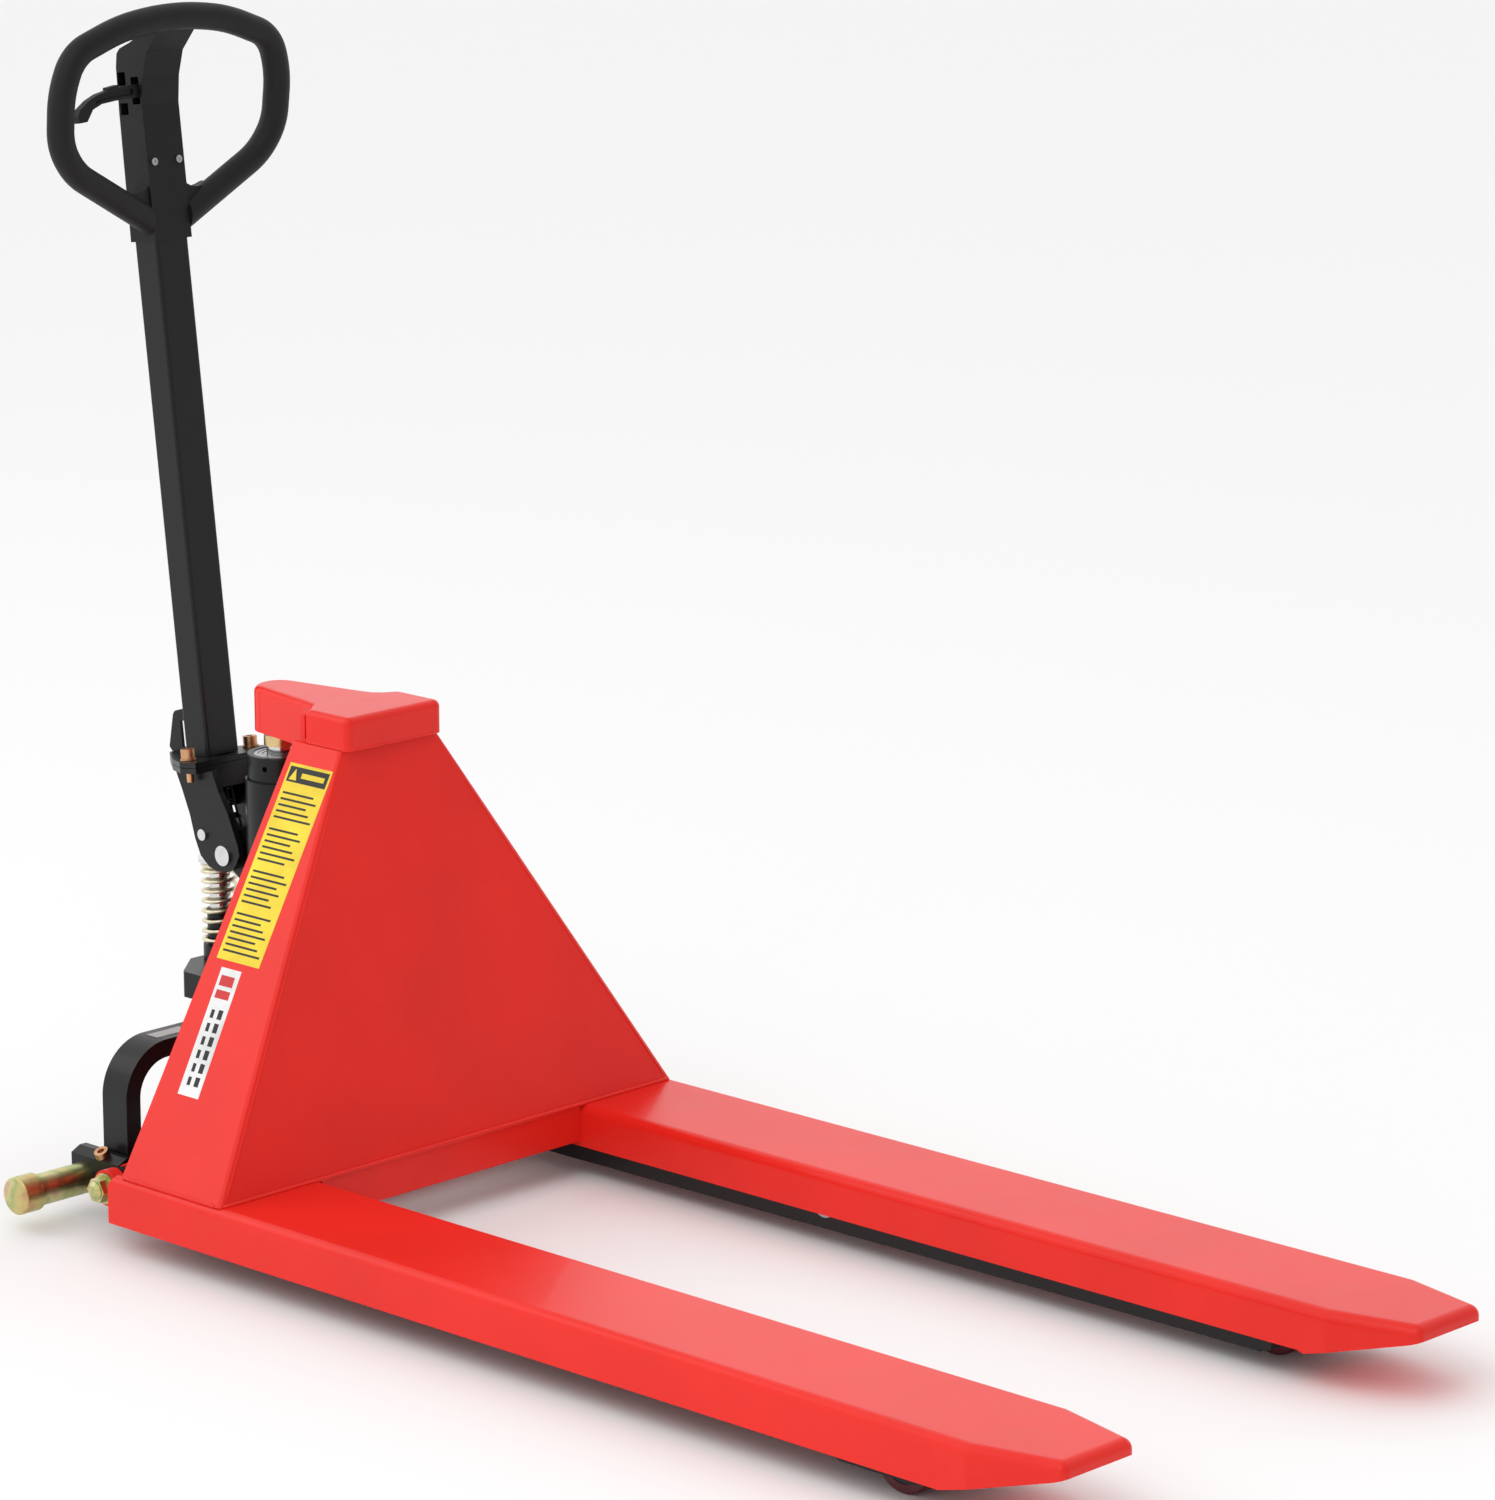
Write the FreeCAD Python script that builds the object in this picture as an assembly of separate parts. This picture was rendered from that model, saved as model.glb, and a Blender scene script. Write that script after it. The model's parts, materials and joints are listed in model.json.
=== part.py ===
import FreeCAD
import Part
import math
import os

# Hand-pumped scissor pallet truck, forks down, handle near upright.
# X runs along the forks towards their tips, Y across the truck, Z up from the floor.
# Stations along X are measured from the rear end of the fork frame; every node is
# moved back by originX as it is written, so the origin is under the middle of the truck.

# ---- driving dimensions, mm ----
forkWidth = 685.0          # over both forks
forkBlade = 149.0          # one fork
forkTip = 1327.0           # station of the fork tips
forkTop = 85.0             # lowered height of the load deck
forkSheet = 5.0            # folded fork sheet
panelFoot = 177.0          # front panel meets the fork deck
panelTopZ = 518.0
panelSheet = 6.0
steerX = -94.0             # steering axis, also the lift cylinder's axis
archHalf = 251.5
archTopZ = 191.5
armHalf = 574.6            # pivot to pivot, half of one scissor arm
pivotX = -32.0             # both rear pivots stand one above the other
floorPivotZ = 37.0         # chassis pivot, level with the load rollers' axles
forkPivotZ = 59.0          # fork frame pivot, level with the guide rollers' pins
steerWheelR = 75.0
loadRollerR = 37.0
guideRollerR = 21.0
handlePinX = -150.0
handlePinZ = 357.0
handleLean = 0.1163        # rearward run of the handle for each mm of height
rearReach = -316.1         # rearmost point of the handle's grip housing
runClear = 0.05            # radial clearance of a pin in its bush
freeClear = 0.5            # clearance where parts only pass each other

originX = (forkTip + rearReach) / 2
forkOuter = forkWidth / 2
forkInner = forkOuter - forkBlade
restAngle = math.asin((forkPivotZ - floorPivotZ) / (2 * armHalf))
frontX = pivotX + 2 * armHalf * math.cos(restAngle)
centreX = pivotX + armHalf * math.cos(restAngle)
centreZ = (floorPivotZ + forkPivotZ) / 2

V = FreeCAD.Vector
alongX, alongY, alongZ = V(1, 0, 0), V(0, 1, 0), V(0, 0, 1)
nodes = {}


def block(x0, x1, y0, y1, z0, z1):
    return Part.makeBox(x1 - x0, y1 - y0, z1 - z0, V(x0, y0, z0))


def rod(radius, x, y, z, length, axis):
    return Part.makeCylinder(radius, length, V(x, y, z), axis)


def ring(outer, inner, x, y, z, length, axis):
    return rod(outer, x, y, z, length, axis).cut(rod(inner, x, y, z, length, axis))


def sideProfile(points, y0, y1):
    wire = Part.makePolygon([V(x, y0, z) for x, z in points + points[:1]])
    return Part.Face(wire).extrude(V(0, y1 - y0, 0))


def planProfile(points, z0, z1):
    wire = Part.makePolygon([V(x, y, z0) for x, y in points + points[:1]])
    return Part.Face(wire).extrude(V(0, 0, z1 - z0))


def frontProfile(points, x0, x1):
    wire = Part.makePolygon([V(x0, y, z) for y, z in points + points[:1]])
    return Part.Face(wire).extrude(V(x1 - x0, 0, 0))


def mirrored(shape):
    return shape.mirror(V(0, 0, 0), alongY)


def pair(shape):
    return Part.makeCompound([shape, mirrored(shape)])


def fused(first, *others):
    return first.multiFuse(list(others)).removeSplitter()


def rounded(shape, radius, chosen):
    edges = [edge for edge in shape.Edges if chosen(edge)]
    return shape.makeFillet(radius, edges)


def tubePath(points, radius):
    # a round bar along straight runs, joined by tangent arcs as large as the runs allow
    pieces = []
    start = points[0]
    for here, corner, after in zip(points, points[1:], points[2:]):
        into = (corner - here).normalize()
        out = (after - corner).normalize()
        half = into.getAngle(out) / 2
        trim = 0.47 * min((corner - here).Length, (after - corner).Length)
        bend = trim / math.tan(half)
        a = corner - into * trim
        b = corner + out * trim
        inward = (out - into).normalize()
        middle = corner + inward * (bend / math.cos(half) - bend)
        pieces += [Part.LineSegment(start, a).toShape(), Part.Arc(a, middle, b).toShape()]
        start = b
    pieces.append(Part.LineSegment(start, points[-1]).toShape())
    path = Part.Wire(pieces)
    section = Part.Wire([Part.Circle(points[0], points[1] - points[0], radius).toShape()])
    return path.makePipeShell([section], True, True)


def hexPrism(acrossFlats, x, y, z, length):
    # a hexagon standing along Y
    radius = acrossFlats / math.sqrt(3)
    points = [(x + radius * math.cos(math.radians(60 * k)), z + radius * math.sin(math.radians(60 * k)))
              for k in range(6)]
    return sideProfile(points, y, y + length)


def keep(name, shape):
    nodes[name] = shape


# ---- fork frame, rises with the load ----

def sideY(z):
    # the side panels lean in towards the head
    return 338.0 - (z - forkTop) * 0.617


def panelX(z):
    # the front panel leans back
    return panelFoot - (z - forkTop) * 0.216


def fork():
    taperX, tipHalf, bendR = 1228.0, 50.0, 11.0
    midY = -(forkOuter + forkInner) / 2
    half = forkBlade / 2
    side = [(0, 32.6), (1193, 32.6), (1316, 65), (forkTip, 69), (forkTip, forkTop), (6, forkTop), (0, 74)]
    plan = [(-1, midY - half), (taperX, midY - half), (forkTip, midY - tipHalf),
            (forkTip, midY + tipHalf), (taperX, midY + half), (-1, midY + half)]
    body = sideProfile(side, midY - half, midY + half).common(planProfile(plan, 0, forkTop))
    body = rounded(body, 9, lambda e: abs(e.BoundBox.ZLength) > 10 and e.BoundBox.XMin > taperX - 2
                   and e.BoundBox.XLength < 1 and e.BoundBox.YLength < 1)
    body = rounded(body, bendR, lambda e: e.BoundBox.ZMin > forkTop - 0.1 and e.BoundBox.XMax > 30)
    inside = half - forkSheet
    hollow = block(-1, 1190, midY - inside, midY + inside, 20, forkTop - forkSheet)
    hollow = rounded(hollow, bendR - forkSheet, lambda e: e.BoundBox.ZMin > forkTop - forkSheet - 0.1
                     and e.BoundBox.XLength > 100)
    toe = sideProfile([(1185, 20), (1195, 20), (1196, 42), (1260, 60), (1290, 73), (1290, 77), (1185, 77)],
                      midY - 46, midY + 46)
    lipCut = block(-1, 1200, midY + half - forkSheet - 1, midY + half + 1, 20, 37)
    tieNotch = block(-1, 127, midY + inside - bendR, midY + half + 1, 20, forkTop - forkSheet)
    # a shallow groove parts the load deck from the strip the panels stand on
    groove = block(panelFoot + 1, panelFoot + 2.2, -forkOuter - 1, -forkInner + 1, forkTop - 0.3, forkTop + 1)
    return body.cut(hollow.fuse(toe)).cut(lipCut).cut(tieNotch).cut(groove)


def sidePanel():
    low, high = forkTop, panelTopZ
    outer = [(18, low), (panelX(low), low), (panelX(high), high), (7, high)]
    slab = sideProfile(outer, -forkOuter, 0)
    skin = frontProfile([(-sideY(low), low), (-sideY(high), high),
                         (-sideY(high) + panelSheet, high), (-sideY(low) + panelSheet, low)], -5, 200)
    panel = slab.common(skin)
    corner = [e for e in panel.Edges if e.BoundBox.ZLength > 400 and e.BoundBox.XMax > panelFoot - 1]
    outermost = min(corner, key=lambda e: e.BoundBox.YMin)
    return panel.makeFillet(panelSheet - 0.5, [outermost])


def frontPanel():
    low, high = forkTop, panelTopZ
    plate = sideProfile([(panelX(low) - panelSheet, low), (panelX(low), low),
                         (panelX(high), high), (panelX(high) - panelSheet, high)], -forkOuter, forkOuter)
    inset = panelSheet
    between = frontProfile([(-sideY(low) + inset, low), (-sideY(high) + inset, high),
                            (sideY(high) - inset, high), (sideY(low) - inset, low)], 0, 300)
    return plate.common(between)


def headCap():
    low, step, high = 504.0, 518.5, 555.0
    noseR, half, front, wall = 28.0, 70.0, 94.0, 7.0
    side = [(-8, 43), (8, 47), (16, 54), (21, 63), (27, half), (front, half)]
    nose = ([(steerX, -noseR)] + [(x, -y) for x, y in side] + [(x, y) for x, y in reversed(side)]
            + [(steerX, noseR)])
    top = planProfile(nose, low, high).fuse(rod(noseR, steerX, 0, low, high - low, alongZ))
    top = top.removeSplitter()
    top = rounded(top, 9, lambda e: e.BoundBox.ZLength > 30 and e.BoundBox.XMin > front - 1)
    top = rounded(top, 8, lambda e: e.BoundBox.ZMin > high - 0.1)
    inner = [(-8, 43 - wall), (8, 47 - wall), (22, 54 - wall), (28, half - wall), (front - wall, half - wall)]
    room = ([(steerX, -noseR + wall)] + [(x, -y) for x, y in inner] + [(x, y) for x, y in reversed(inner)]
            + [(steerX, noseR - wall)])
    under = planProfile(room, low - 1, high - 12)
    under = under.fuse(rod(noseR - wall, steerX, 0, low - 1, high - 11 - low, alongZ))
    skirt = block(2, 120, -90, 90, low - 1, step)
    seat = rod(noseR - wall - 0.2, steerX, 0, high - 30, 18.5, alongZ)
    closing = block(2, 76, -56, 56, step - 5.5, step + 0.1).fuse(block(2, 9, -56, 56, step - 5.5, high - 11))
    return fused(top.cut(under).cut(skirt), seat, closing)


def crossBeam():
    top = forkTop - 42
    return fused(block(128, panelFoot, -forkInner, forkInner, top + 36, forkTop),
                 block(panelFoot - 6, panelFoot, -forkInner, forkInner, top, forkTop))


def lugPair():
    plates = []
    for y0, y1 in ((-318, -304), (-286, -272)):
        shape = fused(rod(20, pivotX, y0, forkPivotZ, y1 - y0, alongY),
                      sideProfile([(pivotX, 40), (70, 40), (70, 79.5), (-8, 79.5), (-14, 70), (-20, 75)], y0, y1))
        plates.append(shape.cut(rod(10 + runClear, pivotX, y0 - 1, forkPivotZ, 16, alongY)))
    return plates


def forkBolt():
    return fused(rod(10, pivotX, -334, forkPivotZ, 62, alongY),
                 rod(15, pivotX, -272, forkPivotZ, 5, alongY),
                 Part.makeCone(10, 6, 3, V(pivotX, -334, forkPivotZ), V(0, -1, 0)))


def forkNut():
    washer = ring(17, 10.02, pivotX, -321, forkPivotZ, 3, alongY)
    flange = ring(14.5, 10.02, pivotX, -323.5, forkPivotZ, 2.5, alongY)
    hexagon = hexPrism(24, pivotX, -333, forkPivotZ, 9.5).cut(rod(10.02, pivotX, -334, forkPivotZ, 12, alongY))
    return [washer, flange.fuse(hexagon).removeSplitter()]


def buildForkFrame():
    right = fork()
    keep("right_fork", right)
    keep("left_fork", mirrored(right))
    keep("right_side_panel", sidePanel())
    keep("left_side_panel", mirrored(sidePanel()))
    keep("front_panel", frontPanel())
    keep("head_cap", headCap())
    keep("cross_beam", crossBeam())
    lugs = lugPair()
    keep("fork_pivot_lugs", Part.makeCompound(lugs + [mirrored(lug) for lug in lugs]))
    fasteners = [forkBolt()] + forkNut()
    keep("fork_pivot_bolts", Part.makeCompound(fasteners + [mirrored(piece) for piece in fasteners]))


# ---- telescopic ram in the lift cylinder ----
cylinderR, cylinderFootZ, cylinderTopZ = 40.0, 222.0, 449.5
glandTopZ = 478.0
stageFootZ = 232.0
ramR = 15.5
stages = {"ram_stage_outer": (30.0, 25.5), "ram_stage_middle": (25.0, 20.5), "ram_stage_inner": (20.0, 16.0)}


def buildRam():
    ramTop = 525.0
    ram = rod(ramR, steerX, 0, stageFootZ, ramTop - stageFootZ, alongZ)
    keep("ram", ram)
    keep("ram_collar", ring(18.5, ramR, steerX, 0, 487, 12, alongZ))
    for number, (name, (outer, inner)) in enumerate(stages.items()):
        top = glandTopZ - 0.8 - 0.6 * number
        keep(name, ring(outer, inner, steerX, 0, stageFootZ, top - stageFootZ, alongZ))


# ---- scissor arms under each fork ----

def innerArm():
    y0, y1 = -214.0, -200.0
    tail = rod(20, pivotX, y0, floorPivotZ, y1 - y0, alongY)
    bar = sideProfile([(pivotX, 17.5), (1040, 21.5), (1140, 21.5), (1155, 26), (1155, 38), (1132, 64),
                       (frontX, 78), (1060, 62), (centreX + 30, 66), (centreX - 30, 66), (200, 57),
                       (pivotX, 56.5)], y0, y1)
    head = rod(19, frontX, y0, forkPivotZ, y1 - y0, alongY)
    arm = fused(bar, tail, head)
    for x, z, r in ((pivotX, floorPivotZ, 12.5), (centreX, centreZ, 11.0), (frontX, forkPivotZ, 7.0)):
        clear = 0.0 if x == frontX else runClear
        arm = arm.cut(rod(r + clear, x, y0 - 1, z, y1 - y0 + 2, alongY))
    return arm


def outerArm():
    y0, y1 = -302.0, -288.0
    bar = sideProfile([(pivotX, 41), (1050, 36), (1050, 70), (centreX + 30, 72), (centreX - 30, 72),
                       (pivotX, 77)], y0, y1)
    tail = rod(18, pivotX, y0, forkPivotZ, y1 - y0, alongY)
    middle = rod(24, centreX, y0, centreZ, y1 - y0, alongY)
    arm = fused(bar, tail, middle)
    arm = arm.cut(rod(10 + runClear, pivotX, y0 - 1, forkPivotZ, 16, alongY))
    return arm.cut(rod(11, centreX, y0 - 1, centreZ, 16, alongY))


def rollerYoke():
    # a bridge behind the load roller and a cheek on each side of it
    cheek = [(1040, 26), (1052, 22), (1150, 22), (1170, 27), (1172, 38), (1150, 54), (1070, 60), (1040, 60)]
    shape = fused(sideProfile(cheek, -326, -312), sideProfile(cheek, -246, -234),
                  block(1040, 1052, -326, -234, 26, 60))
    return shape.cut(rod(10, frontX, -330, floorPivotZ, 100, alongY))


def buildScissor():
    innerTie = rod(14, 50, -201, floorPivotZ + 2, 402, alongY)
    outerTie = rod(10.5, 112, -289, 68.6, 578, alongY)
    keep("inner_scissor_arms", fused(innerArm(), mirrored(innerArm()), innerTie))
    outer = outerArm().fuse(rollerYoke())
    keep("outer_scissor_arms", fused(outer, mirrored(outer), outerTie))
    centre = fused(rod(11, centreX, -306, centreZ, 106.9, alongY), rod(16, centreX, -199.9, centreZ, 0.8, alongY),
                   rod(16, centreX, -288, centreZ, 73.5, alongY))
    keep("centre_pivot_pins", pair(centre))
    guidePin = fused(rod(7, frontX, -233.4, forkPivotZ, 34.9, alongY), rod(10, frontX, -200, forkPivotZ, 1.5, alongY))
    keep("guide_roller_pins", pair(guidePin))
    wheel = ring(guideRollerR, 7 + runClear, frontX, -231.5, forkPivotZ, 16.5, alongY)
    keep("right_guide_roller", wheel)
    keep("left_guide_roller", mirrored(wheel))
    axle = rod(10, frontX, -328, floorPivotZ, 96, alongY)
    keep("load_roller_axles", pair(axle))
    tyre = ring(loadRollerR, 27, frontX, -308, floorPivotZ, 58, alongY)
    tyre = rounded(tyre, 3, lambda e: e.BoundBox.XLength > 60 and e.BoundBox.YLength < 1)
    core = ring(27, 18, frontX, -307, floorPivotZ, 56, alongY)
    races = [ring(18 - runClear, 10, frontX, y, floorPivotZ, 11, alongY) for y in (-308.5, -260.5)]
    keep("load_roller_bearings", Part.makeCompound(races + [mirrored(race) for race in races]))
    for side, flip in (("right", lambda s: s), ("left", mirrored)):
        keep(side + "_load_tyre", flip(tyre))
        keep(side + "_load_hub", flip(core))


# ---- chassis, the arch that carries the steering and the scissor's floor pivots ----

def archBar():
    thick, depth0, depth1, legZ = 20.0, -114.0, -74.0, 73.0
    bend = 60.0
    outer = block(depth0, depth1, -archHalf, archHalf, legZ, archTopZ)
    inner = block(depth0 - 1, depth1 + 1, -archHalf + thick, archHalf - thick, legZ - 1, archTopZ - thick)
    atTop = lambda e: e.BoundBox.XLength > 30 and e.BoundBox.YLength < 1 and e.BoundBox.ZLength < 1
    outer = rounded(outer, bend, lambda e: atTop(e) and e.BoundBox.ZMin > archTopZ - 1)
    inner = rounded(inner, bend - thick, lambda e: atTop(e) and e.BoundBox.ZMin > archTopZ - thick - 1)
    shape = outer.cut(inner)
    shape = shape.fuse(rod(48, steerX, 0, 160, archTopZ - 160, alongZ))
    shape = shape.cut(rod(33, steerX, 0, 174, 20, alongZ))
    return shape.cut(rod(20.5, steerX, 0, 150, 40, alongZ)).removeSplitter()


def archFoot():
    y0, y1 = -249.0, -226.0
    outline = [(-116, 73), (-116, 50), (-92, 26), (pivotX - 8, 14.4), (pivotX + 12, 16.2),
               (pivotX + 20, 50), (pivotX - 14, 60), (-72, 73)]
    foot = fused(sideProfile(outline, y0, y1), rod(24, pivotX, y0, floorPivotZ, y1 - y0, alongY))
    return foot.cut(rod(12.5, pivotX, y0 - 1, floorPivotZ, 30, alongY))


def buildChassis():
    keep("arch", fused(archBar(), archFoot(), mirrored(archFoot())))
    pin = fused(rod(12.5, pivotX, -266.4, floorPivotZ, 68.4, alongY), rod(17, pivotX, -199.5, floorPivotZ, 6, alongY),
                rod(17, pivotX, -225.9, floorPivotZ, 11.4, alongY))
    keep("floor_pivot_pins", pair(pin))
    keep("thrust_washer", ring(32.5, 21, steerX, 0, 174, 18.2, alongZ))


# ---- stabiliser feet, swung down by the lift ----
footX, footZ = -125.0, 41.0
boltFoot = (-99.0, -255.0, 48.0)
boltLean = V(0, -0.44, 0.9).normalize()


def stabiliserLever():
    hub = rod(20, pivotX, -265, floorPivotZ, 14, alongY)
    web = sideProfile([(pivotX, 17.5), (-70, 25), (-70, 66), (-52, 66), (pivotX, 56.5)], -265, -251)
    head = frontProfile([(-272, 26), (-251, 26), (-251, 72), (-260, 72), (-272, 66)], -145, -66)
    head = head.cut(sideProfile([(-146, 20), (-120, 20), (-146, 36)], -290, -250))
    lever = fused(hub, web, head)
    lever = lever.cut(rod(12.5 + runClear, pivotX, -266, floorPivotZ, 16, alongY))
    return lever.cut(rod(5, *boltFoot, 30, boltLean))


def stabiliserFoot():
    stub = rod(17.5, footX, -343, footZ, 71, alongY)
    collar = rod(21, footX, -368, footZ, 27, alongY)
    collar = rounded(collar, 2, lambda e: e.BoundBox.YLength < 1 and e.BoundBox.XLength > 30)
    return stub.fuse(collar).removeSplitter()


def buildStabilisers():
    shank, headH = 24.0, 7.0
    neck = V(*boltFoot) + boltLean * shank
    bolt = fused(Part.makeCylinder(4.9, 18, V(*boltFoot) + boltLean * 6, boltLean),
                 Part.makeCylinder(8, headH, neck, boltLean))
    bolt = bolt.cut(Part.makeCylinder(4, headH, neck + boltLean * 3, boltLean))
    keep("stabiliser_levers", pair(stabiliserLever()))
    keep("stabiliser_feet", pair(stabiliserFoot()))
    keep("stabiliser_bolts", pair(bolt))


# ---- steering unit: pump, cylinder, wheels ----
pumpX = -201.5
springFootZ, springTopZ = 240.5, 336.0
blockFootZ, blockTopZ = 192.5, 222.0


def pumpBlock():
    side = [(-226, 25), (-190, 67), (-150, 67), (-110, 44), (-60, 42), (-48, 30)]
    plan = [(x, -y) for x, y in side] + [(x, y) for x, y in reversed(side)]
    base = planProfile(plan, blockFootZ, blockTopZ)
    base = rounded(base, 6, lambda e: e.BoundBox.ZLength > 20 and e.BoundBox.XMax < -140)
    base = base.cut(rod(20, steerX, 0, blockFootZ - 1, 20, alongZ))
    return base.cut(rod(12 + runClear, pumpX, 0, 207, 20, alongZ))


def pinBracket():
    # a lug on the cylinder's back that carries the handle's hinge pin
    lug = sideProfile([(-128, 322), (-128, 392), (-146, 380), (-164, 371), (-166, 350), (-156, 340)], -24, 24)
    lug = lug.cut(rod(cylinderR, steerX, 0, 300, 120, alongZ))
    slot = block(-170, -136, -8, 8, 300, 400)
    return lug.cut(slot).cut(rod(11.5, handlePinX, -40, handlePinZ, 80, alongY))


def wheelBracket():
    flangeZ = 2 * steerWheelR + 1
    spindle = rod(20, steerX, 0, flangeZ, 211.4 - flangeZ, alongZ)
    flange = rod(30, steerX, 0, flangeZ, 5, alongZ)
    body = block(steerX - 26, steerX + 26, -17, 17, steerWheelR, flangeZ)
    boss = rod(26, steerX, -17, steerWheelR, 34, alongY)
    shape = fused(spindle, flange, body, boss)
    return shape.cut(rod(10, steerX, -30, steerWheelR, 60, alongY))


def steerWheel():
    y0 = -70.0
    width = 50.0
    tyre = ring(steerWheelR, 60, steerX, y0, steerWheelR, width, alongY)
    tyre = rounded(tyre, 5, lambda e: e.BoundBox.XLength > 140 and e.BoundBox.YLength < 1)
    hub = ring(60, 23.5, steerX, y0 + 1, steerWheelR, width - 2, alongY)
    for y in (y0 + 1, y0 + width - 13):
        hub = hub.cut(ring(52, 31, steerX, y, steerWheelR, 12, alongY))
    bearings = [ring(23.5 - runClear, 10, steerX, y, steerWheelR, 12, alongY) for y in (y0 + 2, y0 + width - 14)]
    return tyre, hub, bearings


def buildSteering():
    keep("pump_block", pumpBlock())
    tubeLength = cylinderTopZ - cylinderFootZ
    tube = rod(cylinderR, steerX, 0, cylinderFootZ, tubeLength, alongZ)
    tube = tube.cut(rod(30 + freeClear, steerX, 0, stageFootZ - 2, 260, alongZ))
    valvePin = fused(rod(5, -118, 28, 250, 23.5, alongY), rod(8, -118, 49.8, 250, 1.7, alongY))
    keep("lift_cylinder", fused(tube, pinBracket(), valvePin.cut(rod(35, steerX, 0, 240, 20, alongZ))))
    gland = ring(38, 30 + freeClear, steerX, 0, cylinderTopZ, glandTopZ - cylinderTopZ, alongZ)
    gland = gland.cut(ring(39, 36.8, steerX, 0, cylinderTopZ + 1, 2.2, alongZ))
    for angle in (20, 110, 200, 290):
        away = V(math.cos(math.radians(angle)), math.sin(math.radians(angle)), 0)
        gland = gland.cut(rod(3, steerX + 32 * away.x, 32 * away.y, 466, 8, away))
    keep("gland_nut", rounded(gland, 1.5, lambda e: e.BoundBox.ZMin > glandTopZ - 0.1 and e.BoundBox.XLength > 70))
    turret = ring(20, 12 + runClear, pumpX, 0, blockTopZ, 18, alongZ).fuse(
        ring(15, 12 + runClear, pumpX, 0, blockTopZ + 18, 41, alongZ))
    keep("pump_turret", turret.removeSplitter())
    pin = rod(11.5, handlePinX, -41, handlePinZ, 82, alongY)
    keep("handle_hinge_pin", pin)
    keep("wheel_bracket", wheelBracket())
    keep("wheel_axle", fused(rod(10, steerX, -74, steerWheelR, 148, alongY),
                             rod(14, steerX, -74, steerWheelR, 3, alongY), rod(14, steerX, 71, steerWheelR, 3, alongY)))
    tyre, hub, bearings = steerWheel()
    keep("steer_bearings", Part.makeCompound(bearings + [mirrored(race) for race in bearings]))
    for side, flip in (("right", lambda s: s), ("left", mirrored)):
        keep(side + "_steer_tyre", flip(tyre))
        keep(side + "_steer_hub", flip(hub))


def buildPump():
    piston = fused(rod(12, pumpX, 0, 262, 82, alongZ), rod(24, pumpX, 0, springTopZ, 5, alongZ),
                   rod(15, pumpX, 0, springTopZ + 5, 19.4, alongZ))
    keep("pump_piston", piston)
    wire, coilR, turns = 2.25, 19.2, 8
    height = springTopZ - springFootZ - 2 * wire - 0.4
    helix = Part.makeHelix(height / turns, height, coilR)
    section = Part.Wire([Part.Circle(V(coilR, 0, 0), alongY, wire).toShape()])
    coil = Part.Wire(helix).makePipeShell([section], True, True)
    coil.translate(V(pumpX, 0, springFootZ + wire + 0.2))
    keep("pump_spring", coil)
    lever = fused(ring(9, 5 + runClear, -118, 42.5, 250, 7, alongY),
                  sideProfile([(-121, 256), (-115, 256), (-128, 330), (-140, 372), (-145, 370), (-134, 328)], 42.5, 49.5))
    keep("valve_lever", lever)


# ---- handle ----

def handleX(z):
    # centre line of the handle tube
    return -212.0 - handleLean * (z - 525.0)


def leaning(shape):
    # build upright over the hinge pin, then lean back about it
    shape.rotate(V(handlePinX, 0, handlePinZ), alongY, -math.degrees(math.atan(handleLean)))
    return shape


tubeDeep, tubeWide = 38.5, 46.5
tubeX = -196.6             # tube's centre before it is leant back


def cheek():
    y0, y1 = -38.0, -30.0
    outline = [(-231, 447), (-218, 421.5), (-206, 395), (-198, 369), (-189, 350.5), (-175, 340), (-162, 337.5),
               (-150, 338), (-139, 341), (-130, 349), (-124, 361), (-126, 371), (-142, 406), (-156, 427), (-168, 452)]
    plate = sideProfile(outline, y0, y1)
    plate = plate.cut(rod(11.5 + runClear, handlePinX, y0 - 1, handlePinZ, 12, alongY))
    return plate.cut(rod(6.5, -183.9, y0 - 1, 375.4, 12, alongY))


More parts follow.
